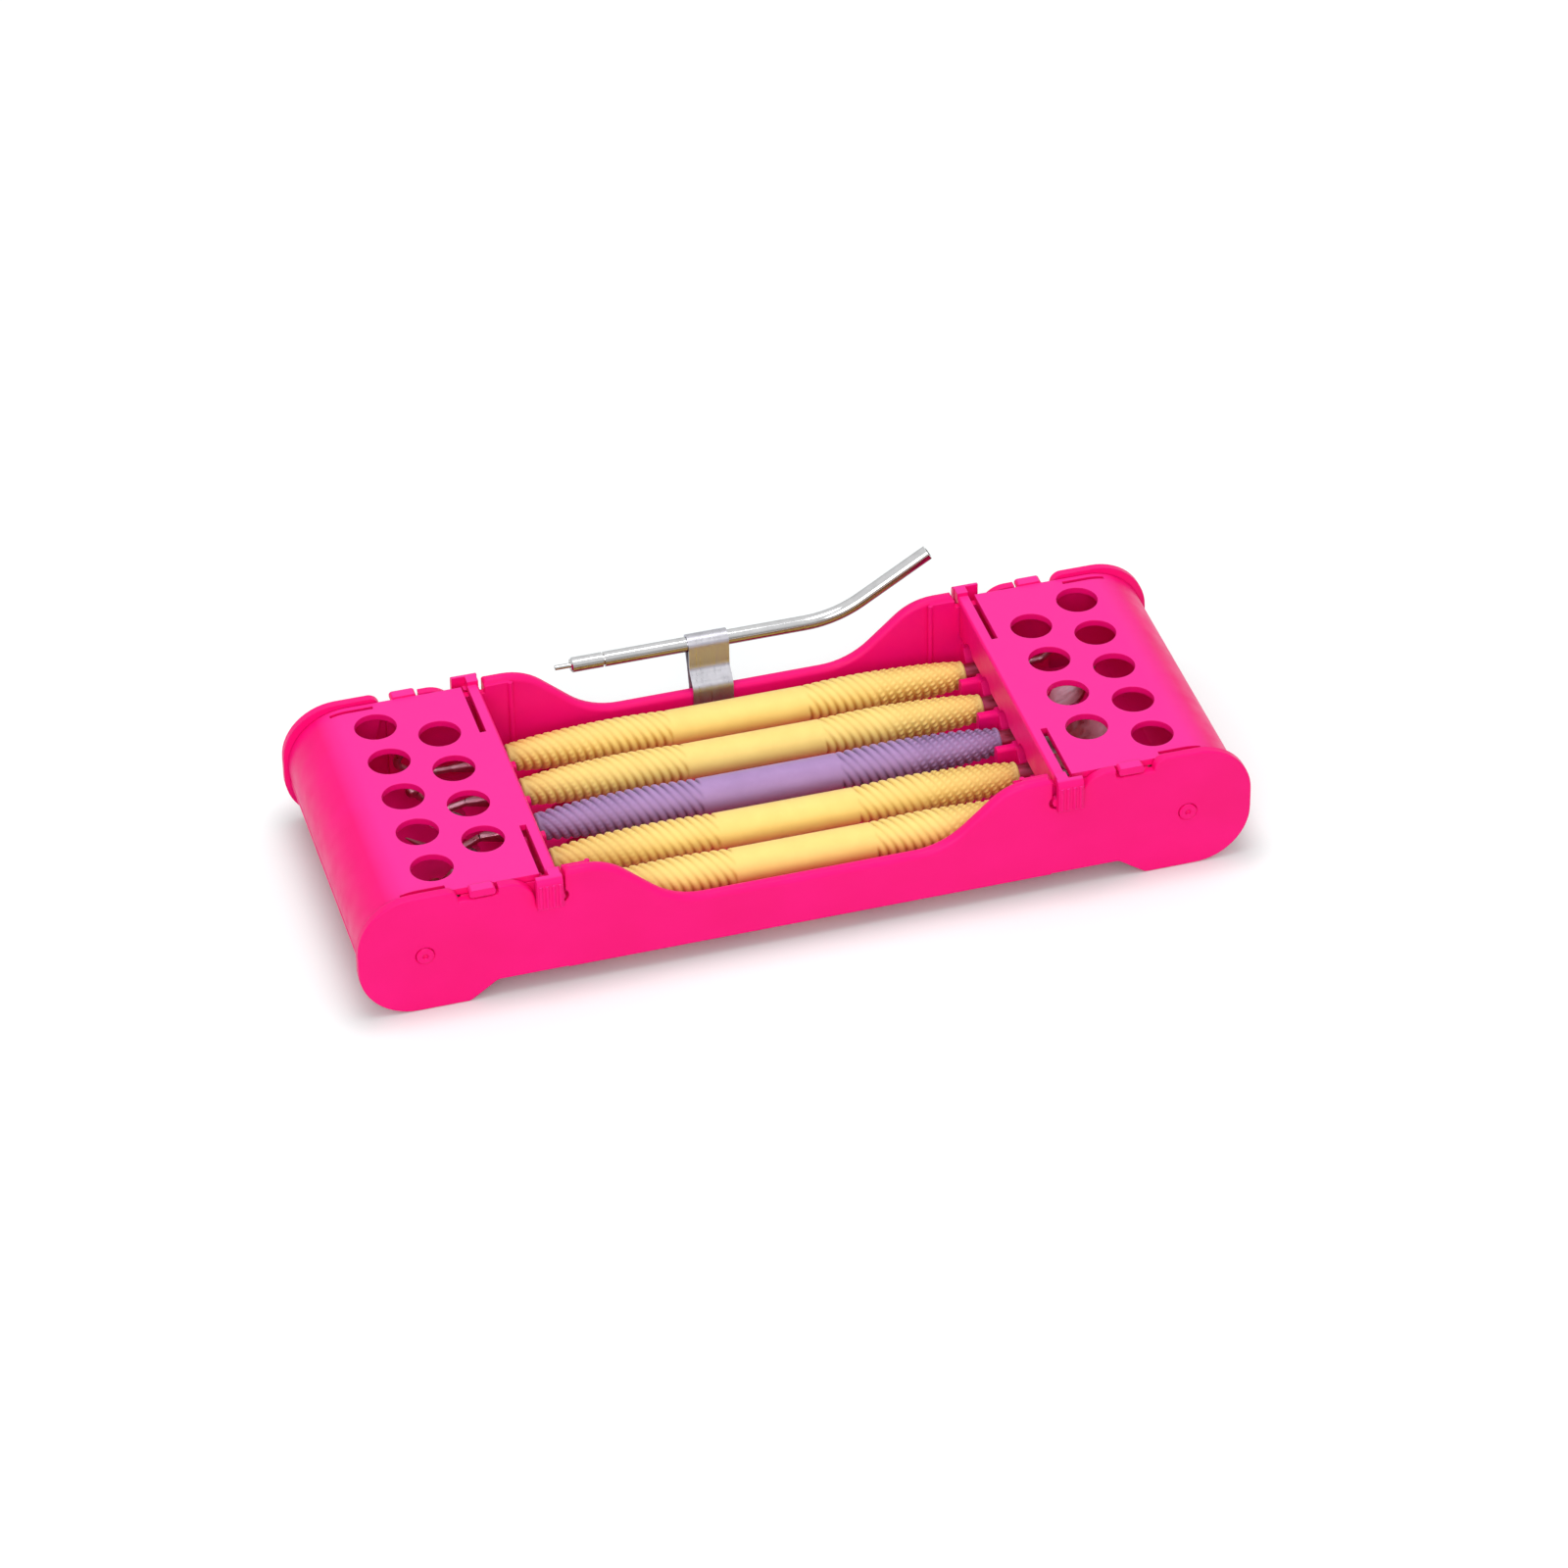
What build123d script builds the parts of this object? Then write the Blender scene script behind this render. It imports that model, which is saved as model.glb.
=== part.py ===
from build123d import *
from math import atan2, cos, degrees, radians, sin, sqrt
import os

# Dental instrument cassette with its instruments and a clipped-on syringe tip, in millimetres.
# X runs along the instruments, -Y is the front and Z is up. The origin is the centre of the
# tray's footprint, on the surface that the feet stand on.

# ---- Layout ----
bay_length = 114.0  # open middle, from one lid's inner edge to the other's
lid_length = 31.0  # lid's inner edge to its pivot
end_reach = 15.0  # pivot to the end of the cassette
row_count = 5  # instruments side by side
instrument_spacing = 13.5
side_margin = 11.25  # outermost instrument's axis to the outside of the side wall
pivot_height = 15.0
axis_height = 14.6  # instrument axes above the table

# ---- Tray ----
floor_bottom = 4.5
floor_wall = 2.0
waist_wall = 3.0  # side wall beside the open middle
waist_top = 17.0
hump_top = 30.9
ramp_end = 10.9  # top of the ramp's slope, from the lid's inner edge
ramp_run = 15.4
ramp_foot_radius = 17.0
ramp_top_radius = 14.0
rim_round = 1.3
cheek_wall = 2.05
cheek_top = 31.0
cheek_radius = 13.0  # both corners of the rounded end
saddle_top = 30.2  # cheek's top between the latch and the lid's tab
saddle_radius = 6.3
foot_length = 11.7
foot_slope = 6.4  # length of the slope from floor to foot
foot_radius = 2.0
notch_corner = 0.8
edge_round = 0.4
ledge_wall = 1.75  # inner layer that the lid's edges rest on
ledge_length = 22.0  # from the lid's inner edge outwards
post_length = 7.0  # from the lid's inner edge inwards
post_step = 0.8
post_bead_radius = 0.6
tongue_radius = 11.4  # floor's upturned end, about the pivot
tongue_lip = 13.0
rack_wall = 2.0
rack_setback = 0.3  # from the lid's inner edge
rack_top = 18.0
rack_post_reach = 4.2  # posts between the handles' ends, from the lid's inner edge inwards
rack_post_wall = 2.4
rack_post_round = 0.8
rack_mouth = 10.4  # width of a rack notch at its top
rack_play = 0.05
slot_length = 26.0  # drain slots in the floor
slot_width = 8.5
slot_spacing = 34.0
vent_diameter = 9.6  # round steam holes in lids and floor
vent_setback = 12.85  # inner row of vents, from the lid's inner edge
vent_spacing = 13.25  # inner row to outer row

# ---- Lid ----
lid_wall = 1.6
lid_drop = 1.0  # lid's top below the cheeks' top
lid_side_gap = 0.2
lid_edge_round = 0.8
lid_seat_gap = 0.15
roll_radius = 14.0  # outside of the rolled end
roll_sweep = 107.0  # degrees that the rolled end turns through
bead_radius = 1.15
ear_wall = 1.8
ear_radius = 4.5
ear_run = 8.4  # ear's length along the plate, from the pivot inwards
pin_radius = 2.0
pin_play = 0.075
pin_proud = 0.3  # pin's end beyond the cheek
pin_bevel = 0.25  # on the pin's end and around its hole
pin_dimple_radius = 0.7
side_slot_start = 4.6  # slot beside the cheek, from the side tab outwards
side_slot_length = 10.0
side_slot_width = 1.0
side_slot_inset = 1.1
tongue_gap = 0.3
comb_wall = 1.5
comb_bottom = 20.7
comb_arch_radius = 3.6
comb_arch_depth = 1.6
latch_bar = 2.6  # springing bar along the lid's inner edge
latch_slot = 1.5
latch_slot_start = 18.0  # from the middle of the lid
latch_top = 31.0
catch_gap = 1.1  # end of the waist wall to the lid's inner edge
catch_bottom = 23.0
catch_length = 6.7
grip_length = 5.9
grip_wall = 1.8
grip_bottom = 22.7
grip_gap = 0.15
grip_round = 0.7
grip_shoulder = 1.6  # round bend from the bar's top into the grip
grip_lead = 0.2
rib_radius = 0.4
rib_count = 4
rib_gap = 1.45
hook_length = 3.1
hook_wall = 1.5
hook_rise = 0.4  # hook's bottom above the catch's bottom
nose_radius = 1.1
nose_play = 0.7
nose_lead = 0.1
tab_setback = 14.5  # from the lid's inner edge
tab_length = 5.9
tab_wall = 1.9
tab_reach = 2.4
tab_drop = 2.4  # tab's underside below the cheek's top
tab_play = 0.6
tab_round = 0.8
tab_slope = 2.5  # extra length of the cheek's notch, outwards of the tab
tab_notch_round = 0.9  # share of the notch's depth that its outer corner rounds off

# ---- Instruments ----
handle_play = 5.0  # how much shorter a handle is than the open middle
handle_shift = 1.2  # instruments lie a little to the right
handle_waist_radius = 4.2
handle_belly_radius = 4.65
handle_belly_place = 30.0  # from the handle's middle
handle_shoulder_radius = 4.15
handle_shoulder_place = 45.0
handle_end_radius = 3.1
handle_end_round = 0.6
handle_smooth_length = 31.8
stem_radius = 1.5
stem_length = 11.0
stem_play = 0.05
bore_depth = 12.0
ferrule_radius = 2.4
ferrule_length = 5.5
shank_radius = 0.9
shank_bend = 2.0
point_radius = 0.18
point_length = 5.0
ball_radius = 1.6
probe_radius = 0.45
probe_ball_radius = 0.6
paddle_radius = 4.3
paddle_wall = 0.9
head_overlap = 0.5  # how far a shank runs into a flat head
mirror_radius = 8.0
mirror_wall = 2.0
mirror_rim = 0.7
glass_wall = 0.8
glass_play = 0.03

# ---- Syringe tip and its clip ----
tube_radius = 1.8
tube_bore = 1.1
tube_start = -26.45
tube_corner = 28.75
tube_turn = 31.5  # degrees
tube_turn_radius = 26.0
tube_rise = 26.3  # length of the raised end, from the corner
tube_height = 27.46
tube_stand_off = 2.0  # tube's axis outside the wall
collar_length = 8.0
collar_groove = 0.5
collar_bevel = 0.4
spigot_length = 3.0
spigot_play = 0.02
nozzle_radius = 0.6
nozzle_bore = 0.3
nozzle_reach = 3.6
nozzle_depth = 6.0
nozzle_play = 0.02
clip_strip = 0.45
clip_length = 9.6
clip_start = -6.9
clip_play = 0.1
clip_bend = 0.9
shoulder_bend = 3.0
loop_play = 0.07
loop_turn = 197.0  # degrees from the front leg over the tube
inner_leg_bottom = 8.5
inner_leg_top = 18.6
shoulder_top = 21.4
throat_height = 21.6
throat_out = 2.0  # where the back leg pinches in, outside the front leg
outer_leg_top = 16.0
outer_leg_bottom = 10.2
toe_drop = 1.6
toe_flare = 1.1

# ---- Worked out from the sizes above ----
lid_edge = bay_length / 2
handle_length = bay_length - handle_play
pivot_x = lid_edge + lid_length
end_x = pivot_x + end_reach
rows = [((row_count - 1) / 2 - i) * instrument_spacing for i in range(row_count)]
half_width = rows[0] + side_margin
floor_top = floor_bottom + floor_wall
wall_inside = half_width - waist_wall
cheek_inside = half_width - cheek_wall
ledge_inside = cheek_inside - ledge_wall
lid_top = cheek_top - lid_drop
lid_under = lid_top - lid_wall
ledge_top = lid_under - lid_seat_gap
ledge_end = lid_edge + ledge_length
lid_half_width = cheek_inside - lid_side_gap
ear_inside = lid_half_width - ear_wall
tongue_half_width = ear_inside - tongue_gap
roll_z = lid_top - roll_radius
catch_x = lid_edge - catch_gap
catch_end = catch_x + catch_length
nose_z = catch_bottom + hook_rise + nose_radius
tab_x = lid_edge + tab_setback
tab_bottom = cheek_top - tab_drop

os.makedirs("parts", exist_ok=True)


def finish(part, name):
    """Name one finished piece and write its file."""
    part.label = name
    export_step(part, f"parts/{name}.step")


def upright(y):
    """The XZ plane at y; what is extruded from it comes towards the middle."""
    return Plane.XZ.offset(-y)


def corner(sketch, x, y):
    """The sketch's corner nearest to a point of its own plane."""
    return sketch.vertices().sort_by_distance((x, y, 0))[0]


def round_edge(builder, place):
    """The part's circular edge nearest to a point in space."""
    return builder.edges().filter_by(GeomType.CIRCLE).sort_by_distance(place)[0]


# ---- Cheek: the outer plate beside one lid, with its foot and its notches ----
foot_end = end_x - cheek_radius
foot_start = foot_end - foot_length
foot_root = foot_start - foot_slope
tab_notch_x = tab_x - tab_play
tab_notch_end = tab_x + tab_length + tab_slope
tab_notch_floor = tab_bottom - tab_play

with BuildPart() as cheek:
    with BuildSketch(upright(half_width)) as cheek_outline:
        with BuildLine():
            Polyline(
                (catch_x, floor_bottom),
                (foot_root, floor_bottom),
                (foot_start, 0),
                (end_x, 0),
                (end_x, cheek_top),
                (tab_notch_end, cheek_top),
                (tab_notch_end, tab_notch_floor),
                (tab_notch_x, tab_notch_floor),
                (tab_notch_x, saddle_top),
                (catch_end, saddle_top),
                (catch_end, catch_bottom),
                (catch_x, catch_bottom),
                close=True,
            )
        make_face()
        fillet(corner(cheek_outline, end_x, 0), cheek_radius)
        fillet(corner(cheek_outline, end_x, cheek_top), cheek_radius)
        fillet(corner(cheek_outline, foot_root, floor_bottom), foot_radius)
        fillet(corner(cheek_outline, foot_start, 0), foot_radius)
        notch_rise = cheek_top - tab_notch_floor
        fillet(corner(cheek_outline, tab_notch_end, cheek_top), notch_rise * tab_notch_round)
        fillet(corner(cheek_outline, tab_notch_x, tab_notch_floor), notch_corner)
        fillet(corner(cheek_outline, catch_end, saddle_top), saddle_radius)
        fillet(corner(cheek_outline, catch_end, catch_bottom), notch_corner)
    extrude(amount=cheek_wall)
    outside_edges = cheek.faces().sort_by(Axis.Y)[-1].edges()
    fillet(outside_edges.filter_by_position(Axis.X, catch_end + edge_round, end_x), edge_round)

# ---- Base tray: one corner is modelled, then mirrored across and along ----
with BuildPart() as base_tray:
    # side wall from the low waist up the ramp to the hump, with a rounded rim
    ramp_top_x = lid_edge - ramp_end
    ramp_foot_x = ramp_top_x - ramp_run
    with BuildSketch(upright(half_width)) as wall_outline:
        with BuildLine():
            Polyline(
                (0, floor_bottom),
                (catch_x, floor_bottom),
                (catch_x, hump_top),
                (ramp_top_x, hump_top),
                (ramp_foot_x, waist_top),
                (0, waist_top),
                close=True,
            )
        make_face()
        fillet(corner(wall_outline, ramp_foot_x, waist_top), ramp_foot_radius)
        fillet(corner(wall_outline, ramp_top_x, hump_top), ramp_top_radius)
    extrude(amount=waist_wall)
    rim_edges = base_tray.edges().filter_by_position(Axis.Z, waist_top - rim_round, hump_top)
    lengthwise = rim_edges.filter_by(Axis.Y, reverse=True).filter_by(Axis.Z, reverse=True)
    fillet(lengthwise, rim_round)
    with BuildSketch(upright(half_width)):
        with Locations((catch_x - rim_round, hump_top - rim_round)):
            Rectangle(rim_round, rim_round, align=Align.MIN)
            Circle(rim_round, mode=Mode.SUBTRACT)
    extrude(amount=waist_wall, mode=Mode.SUBTRACT)

    # cheek, and the recess for the latch's nose in the end of the wall
    add(cheek.part)
    with BuildSketch(upright(half_width)):
        with Locations((lid_edge, nose_z)):
            Circle(nose_radius + nose_play)
    extrude(amount=cheek_wall, mode=Mode.SUBTRACT)

    # ledge that carries the lid's long edges, with a post at its inner end
    with BuildSketch(upright(cheek_inside)):
        with BuildLine():
            Polyline(
                (lid_edge - post_length, floor_bottom),
                (ledge_end, floor_bottom),
                (ledge_end, ledge_top),
                (catch_x, ledge_top),
                (catch_x, hump_top - post_step),
                (lid_edge - post_length, hump_top - post_step),
                close=True,
            )
        make_face()
    extrude(amount=ledge_wall)
    with BuildSketch(Plane.XY.offset(floor_bottom)):
        with Locations((lid_edge - post_length, ledge_inside)):
            Circle(post_bead_radius)
    extrude(amount=hump_top - post_step - floor_bottom)

    # floor, and the tongue that curls up from it between the lid's ears
    with BuildSketch(Plane.XY.offset(floor_bottom)):
        Rectangle(ledge_end, cheek_inside + cheek_wall / 2, align=Align.MIN)
    extrude(amount=floor_wall)
    tongue_bore = tongue_radius - floor_wall
    tongue_flat_end = pivot_x + sqrt(tongue_bore**2 - (pivot_height - floor_top) ** 2)
    with BuildSketch(upright(tongue_half_width)):
        with Locations((pivot_x, pivot_height)):
            Circle(tongue_radius)
            Circle(tongue_bore, mode=Mode.SUBTRACT)
        with Locations((pivot_x, floor_bottom)):
            Rectangle(end_reach, tongue_lip - floor_bottom, align=Align.MIN, mode=Mode.INTERSECT)
        with Locations((ledge_end, floor_bottom)):
            Rectangle(tongue_flat_end - ledge_end, floor_wall, align=Align.MIN)
    extrude(amount=tongue_half_width)

    # pivot hole in the cheek
    with BuildSketch(upright(half_width)):
        with Locations((pivot_x, pivot_height)):
            Circle(pin_radius + pin_play)
    extrude(amount=cheek_wall, mode=Mode.SUBTRACT)
    chamfer(round_edge(base_tray, (pivot_x, half_width, pivot_height)), pin_bevel)
    mirror(about=Plane.XZ)

    # rack whose notches hold the instruments' ferrules
    with BuildSketch(Plane.YZ.offset(lid_edge + rack_setback)):
        with Locations((0, floor_top)):
            Rectangle(2 * ledge_inside, rack_top - floor_top, align=(Align.CENTER, Align.MIN))
        seat_radius = ferrule_radius + rack_play
        for y in rows:
            with Locations((y, axis_height)):
                Circle(seat_radius, mode=Mode.SUBTRACT)
            with BuildLine():
                Polyline(
                    (y - seat_radius, axis_height),
                    (y + seat_radius, axis_height),
                    (y + rack_mouth / 2, rack_top),
                    (y - rack_mouth / 2, rack_top),
                    close=True,
                )
            make_face(mode=Mode.SUBTRACT)
    extrude(amount=rack_wall)
    with BuildSketch(Plane.YZ.offset(lid_edge - rack_post_reach)) as post_ends:
        with Locations((0, floor_top)):
            with GridLocations(instrument_spacing, 1, row_count - 1, 1):
                Rectangle(rack_post_wall, rack_top - floor_top, align=(Align.CENTER, Align.MIN))
        fillet(post_ends.vertices().group_by(Axis.Z)[-1], rack_post_round)
    extrude(amount=rack_post_reach + rack_setback)

    # steam vents in the floor of the end compartment
    with BuildSketch(Plane.XY.offset(floor_bottom)):
        with Locations((lid_edge + vent_setback, 0)):
            with GridLocations(1, instrument_spacing, 1, row_count - 1):
                Circle(vent_diameter / 2)
    extrude(amount=floor_wall, mode=Mode.SUBTRACT)
    mirror(about=Plane.YZ)

    # drain slots under the instruments' handles
    with BuildSketch(Plane.XY.offset(floor_bottom)):
        with GridLocations(slot_spacing, instrument_spacing, 3, row_count):
            SlotOverall(slot_length, slot_width)
    extrude(amount=floor_wall, mode=Mode.SUBTRACT)

finish(base_tray.part, "base_tray")

# ---- Lid: half of the right one is modelled, then mirrored ----
roll_mid = roll_radius - lid_wall / 2
roll_end = 90 - roll_sweep
hook_x = lid_edge + grip_lead
grip_x = lid_edge - grip_lead
grip_inside = half_width + grip_gap
hook_bottom = nose_z - nose_radius

with BuildPart() as right_lid:
    # plate and rolled end, with a bead along the free edge
    with BuildSketch(upright(lid_half_width)) as lid_section:
        with Locations((lid_edge, lid_under)):
            Rectangle(lid_length, lid_wall, align=Align.MIN)
        with BuildLine():
            outer_arc = CenterArc((pivot_x, roll_z), roll_radius, roll_end, roll_sweep)
            inner_arc = CenterArc((pivot_x, roll_z), roll_radius - lid_wall, roll_end, roll_sweep)
            Line(outer_arc @ 0, inner_arc @ 0)
            Line(outer_arc @ 1, inner_arc @ 1)
        make_face()
        with Locations((pivot_x, roll_z)):
            with PolarLocations(roll_mid, 1, start_angle=roll_end):
                Circle(bead_radius)
        fillet(corner(lid_section, lid_edge, lid_top), lid_edge_round)
    extrude(amount=lid_half_width)

    # ear with the pivot pin
    with BuildSketch(upright(lid_half_width)):
        with BuildLine():
            rolled_edge = CenterArc((pivot_x, roll_z), roll_mid, roll_end, roll_sweep)
            round_ear = CenterArc((pivot_x, pivot_height), ear_radius, 180, 90)
            Polyline(
                rolled_edge @ 1,
                (pivot_x - ear_run, lid_top - lid_wall / 2),
                round_ear @ 0,
            )
            Line(round_ear @ 1, rolled_edge @ 0)
        make_face()
    extrude(amount=ear_wall)
    with BuildSketch(upright(half_width + pin_proud)):
        with Locations((pivot_x, pivot_height)):
            Circle(pin_radius)
    extrude(amount=cheek_wall + lid_side_gap + pin_proud)
    fillet(round_edge(right_lid, (pivot_x, half_width + pin_proud, pivot_height)), pin_bevel)
    with Locations((pivot_x, half_width + pin_proud, pivot_height)):
        Sphere(pin_dimple_radius, mode=Mode.SUBTRACT)

    # comb that holds the instruments down when the lid is shut
    with BuildSketch(Plane.YZ.offset(lid_edge)):
        with Locations((0, comb_bottom)):
            Rectangle(tongue_half_width, lid_under - comb_bottom, align=Align.MIN)
        for y in rows:
            with Locations((y, comb_bottom + comb_arch_depth - comb_arch_radius)):
                Circle(comb_arch_radius, mode=Mode.SUBTRACT)
    extrude(amount=comb_wall)

    # latch: bar across the catch, hook with its nose inside, finger grip outside
    with BuildSketch(Plane.XY.offset(lid_under)):
        with Locations((lid_edge, lid_half_width)):
            Rectangle(latch_bar, grip_inside - lid_half_width, align=Align.MIN)
    extrude(amount=latch_top - lid_under)
    with BuildSketch(Plane.XY.offset(hook_bottom)):
        with Locations((hook_x, grip_inside)):
            Rectangle(hook_length, hook_wall, align=(Align.MIN, Align.MAX))
    extrude(amount=lid_under - hook_bottom)
    with BuildSketch(upright(grip_inside)):
        with Locations((lid_edge + nose_lead, nose_z)):
            Circle(nose_radius)
    extrude(amount=hook_wall)
    with BuildSketch(Plane.YZ.offset(grip_x)) as grip_section:
        with Locations((grip_inside, grip_bottom)):
            Rectangle(grip_wall, latch_top - grip_bottom, align=Align.MIN)
        fillet(corner(grip_section, grip_inside + grip_wall, latch_top), grip_shoulder)
        fillet(corner(grip_section, grip_inside + grip_wall, grip_bottom), grip_round)
    extrude(amount=grip_length)
    with BuildSketch(Plane.XY.offset(grip_bottom + grip_round)):
        with Locations((grip_x + grip_length / 2, grip_inside + grip_wall)):
            with GridLocations(rib_gap, 1, rib_count, 1):
                Circle(rib_radius)
    extrude(amount=latch_top - grip_shoulder - grip_bottom - grip_round)

    # side tab that locates the shut lid in the cheek's notch
    with BuildSketch(upright(lid_half_width + tab_reach)) as tab_outline:
        with Locations((tab_x, tab_bottom)):
            Rectangle(tab_length, tab_wall, align=Align.MIN)
        fillet(tab_outline.vertices().group_by(Axis.Z)[0], tab_round)
    extrude(amount=tab_reach)

    # slot that frees the latch bar, and the one beside the cheek
    with BuildSketch(Plane.XY.offset(lid_under)):
        with Locations((lid_edge + latch_bar, latch_slot_start)):
            Rectangle(latch_slot, lid_half_width - latch_slot_start, align=Align.MIN)
        with Locations((tab_x + tab_length + side_slot_start, lid_half_width - side_slot_inset)):
            Rectangle(side_slot_length, side_slot_width, align=(Align.MIN, Align.MAX))
    extrude(amount=lid_wall, mode=Mode.SUBTRACT)
    mirror(about=Plane.XZ)

    # two staggered rows of steam vents
    with BuildSketch(Plane.XY.offset(lid_under)):
        with Locations((lid_edge + vent_setback, 0)):
            with GridLocations(1, instrument_spacing, 1, row_count - 1):
                Circle(vent_diameter / 2)
        with Locations((lid_edge + vent_setback + vent_spacing, 0)):
            with GridLocations(1, instrument_spacing, 1, row_count):
                Circle(vent_diameter / 2)
    extrude(amount=lid_wall, mode=Mode.SUBTRACT)

finish(right_lid.part, "right_lid")

with BuildPart() as left_lid:
    mirror(right_lid.part, about=Plane.YZ)

finish(left_lid.part, "left_lid")

# ---- Instrument handles: waisted grips with a blind bore in each end ----
outwards = (Align.CENTER, Align.CENTER, Align.MIN)
smooth_end = handle_smooth_length / 2
left_end = handle_shift - handle_length / 2
right_end = handle_shift + handle_length / 2

for number, y in enumerate(rows, 1):
    with BuildPart() as handle:
        with BuildSketch(Plane((handle_shift, y, axis_height), x_dir=(1, 0, 0), z_dir=(0, -1, 0))):
            with BuildLine():
                Line((0, 0), (0, handle_waist_radius))
                Line((0, handle_waist_radius), (smooth_end, handle_waist_radius))
                belly = ThreePointArc(
                    (smooth_end, handle_waist_radius),
                    (handle_belly_place, handle_belly_radius),
                    (handle_shoulder_place, handle_shoulder_radius),
                )
                taper = TangentArc(belly @ 1, (handle_length / 2, handle_end_radius), tangent=belly % 1)
                Line(taper @ 1, (handle_length / 2, 0))
                Line((handle_length / 2, 0), (0, 0))
            make_face()
            mirror(about=Plane.YZ)
        revolve(axis=Axis((0, y, axis_height), (1, 0, 0)))
        rims = handle.edges().filter_by(GeomType.CIRCLE).group_by(Axis.X)
        fillet(rims[0] + rims[-1], handle_end_round)
        with Locations(
            Plane((left_end, y, axis_height), z_dir=(1, 0, 0)),
            Plane((right_end, y, axis_height), z_dir=(-1, 0, 0)),
        ):
            Cylinder(stem_radius + stem_play, bore_depth, align=outwards, mode=Mode.SUBTRACT)
    finish(handle.part, f"instrument_handle_{number}")


# ---- Working ends ----
def flat_on(end, reach):
    """Plane of a flat round head whose middle lies a reach beyond the shank's end."""
    return Plane(end.offset(reach).origin, x_dir=(0, 1, 0), z_dir=end.x_dir.cross(end.z_dir))


def add_point(end):
    with Locations(end):
        Cone(shank_radius, point_radius, point_length, align=outwards)


def add_ball(end):
    with Locations(end):
        Sphere(ball_radius)


def add_probe(end):
    with Locations(end):
        Cylinder(probe_radius, point_length, align=outwards)
    with Locations(end.offset(point_length)):
        Sphere(probe_ball_radius)


def add_paddle(end):
    with Locations(flat_on(end, paddle_radius - head_overlap)):
        Cylinder(paddle_radius, paddle_wall)


def add_mirror(end):
    face = flat_on(end, mirror_radius - head_overlap)
    with Locations(face):
        Cylinder(mirror_radius, mirror_wall)
    with Locations(face.offset(mirror_wall / 2 - glass_wall)):
        Cylinder(mirror_radius - mirror_rim, glass_wall, align=outwards, mode=Mode.SUBTRACT)


# bends of each shank: distance out of the handle's end, height above the instrument's axis
working_ends = {
    "left_tip_1": (7.5, [(21, 0), (26, 4), (24.2, 7.2)], add_point),
    "left_tip_2": (7.5, [(18, -1), (22, 2.5), (25, 6)], add_ball),
    "left_tip_3": (7.5, [(18, -2.5), (23, -2), (26, 0.5)], add_point),
    "left_tip_4": (7.5, [(18, 3), (22, 2.5), (25, -0.5)], add_paddle),
    "left_tip_5": (7.5, [(19, 0), (23, -2.5)], add_probe),
    "right_tip_1": (7.5, [(19, 0.5), (22, 3.5)], add_probe),
    "right_tip_2": (7.5, [(18, -2), (23, -2), (25, 1.5)], add_point),
    "right_tip_3": (3.0, [(10.2, 0.4), (11.6, 7.6), (12.9, 8.2)], add_paddle),
    "right_tip_4": (3.0, [(9.6, 0), (10.8, 0.94)], add_mirror),
    "right_tip_5": (7.5, [(17, 2), (22, 1.5), (25, 4.5)], add_point),
}

for name, (neck_length, bends, add_ending) in working_ends.items():
    y = rows[int(name[-1]) - 1]
    if name.startswith("left"):
        side = Plane((left_end, y, axis_height), x_dir=(-1, 0, 0), z_dir=(0, 1, 0))
    else:
        side = Plane((right_end, y, axis_height), x_dir=(1, 0, 0), z_dir=(0, -1, 0))
    neck_end = ferrule_length + neck_length
    with BuildPart() as tip:
        with BuildSketch(side):
            with BuildLine():
                Polyline(
                    (-stem_length, 0),
                    (-stem_length, stem_radius),
                    (0, stem_radius),
                    (0, ferrule_radius),
                    (ferrule_length, ferrule_radius),
                    (neck_end, shank_radius),
                    (neck_end, 0),
                    close=True,
                )
            make_face()
        revolve(axis=Axis(side.origin, side.x_dir))
        with BuildLine(side) as shank:
            FilletPolyline((neck_end, 0), *bends, radius=shank_bend)
        with BuildSketch(Plane(shank.line @ 0, x_dir=(0, 1, 0), z_dir=shank.line % 0)):
            Circle(shank_radius)
        sweep()
        add_ending(Plane(shank.line @ 1, x_dir=(0, 1, 0), z_dir=shank.line % 1))
    finish(tip.part, name)
    if add_ending is add_mirror:
        shank_end = Plane(shank.line @ 1, x_dir=(0, 1, 0), z_dir=shank.line % 1)
        glass_seat = flat_on(shank_end, mirror_radius - head_overlap).offset(mirror_wall / 2 - glass_wall)
        with BuildPart() as mirror_glass:
            with Locations(glass_seat):
                Cylinder(mirror_radius - mirror_rim - glass_play, glass_wall, align=outwards)
        finish(mirror_glass.part, "mirror_glass")

# ---- Spring clip: one bent strip that straddles the back wall and wraps the syringe tip ----
tube_y = half_width + tube_stand_off
loop_radius = tube_radius + loop_play + clip_strip / 2
inner_leg_y = wall_inside - clip_play - clip_strip / 2
outer_leg_y = half_width + clip_play + clip_strip / 2
front_leg_y = tube_y - loop_radius

with BuildPart() as tip_clip:
    with BuildSketch(Plane.YZ.offset(clip_start)):
        with BuildLine():
            FilletPolyline(
                (inner_leg_y, inner_leg_bottom),
                (inner_leg_y, inner_leg_top),
                (front_leg_y, shoulder_top),
                (front_leg_y, tube_height),
                radius=shoulder_bend,
            )
            loop = CenterArc((tube_y, tube_height), loop_radius, 180, -loop_turn)
            FilletPolyline(
                loop @ 1,
                (front_leg_y + throat_out, throat_height),
                (outer_leg_y, outer_leg_top),
                (outer_leg_y, outer_leg_bottom),
                (outer_leg_y + toe_flare, outer_leg_bottom - toe_drop),
                radius=clip_bend,
            )
        trace(line_width=clip_strip)
    extrude(amount=clip_length)
finish(tip_clip.part, "tip_clip")

# ---- Syringe tip: bent tube, coupling collar and inner water nozzle ----
collar_start = tube_start - collar_length
turn = radians(tube_turn)

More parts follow.
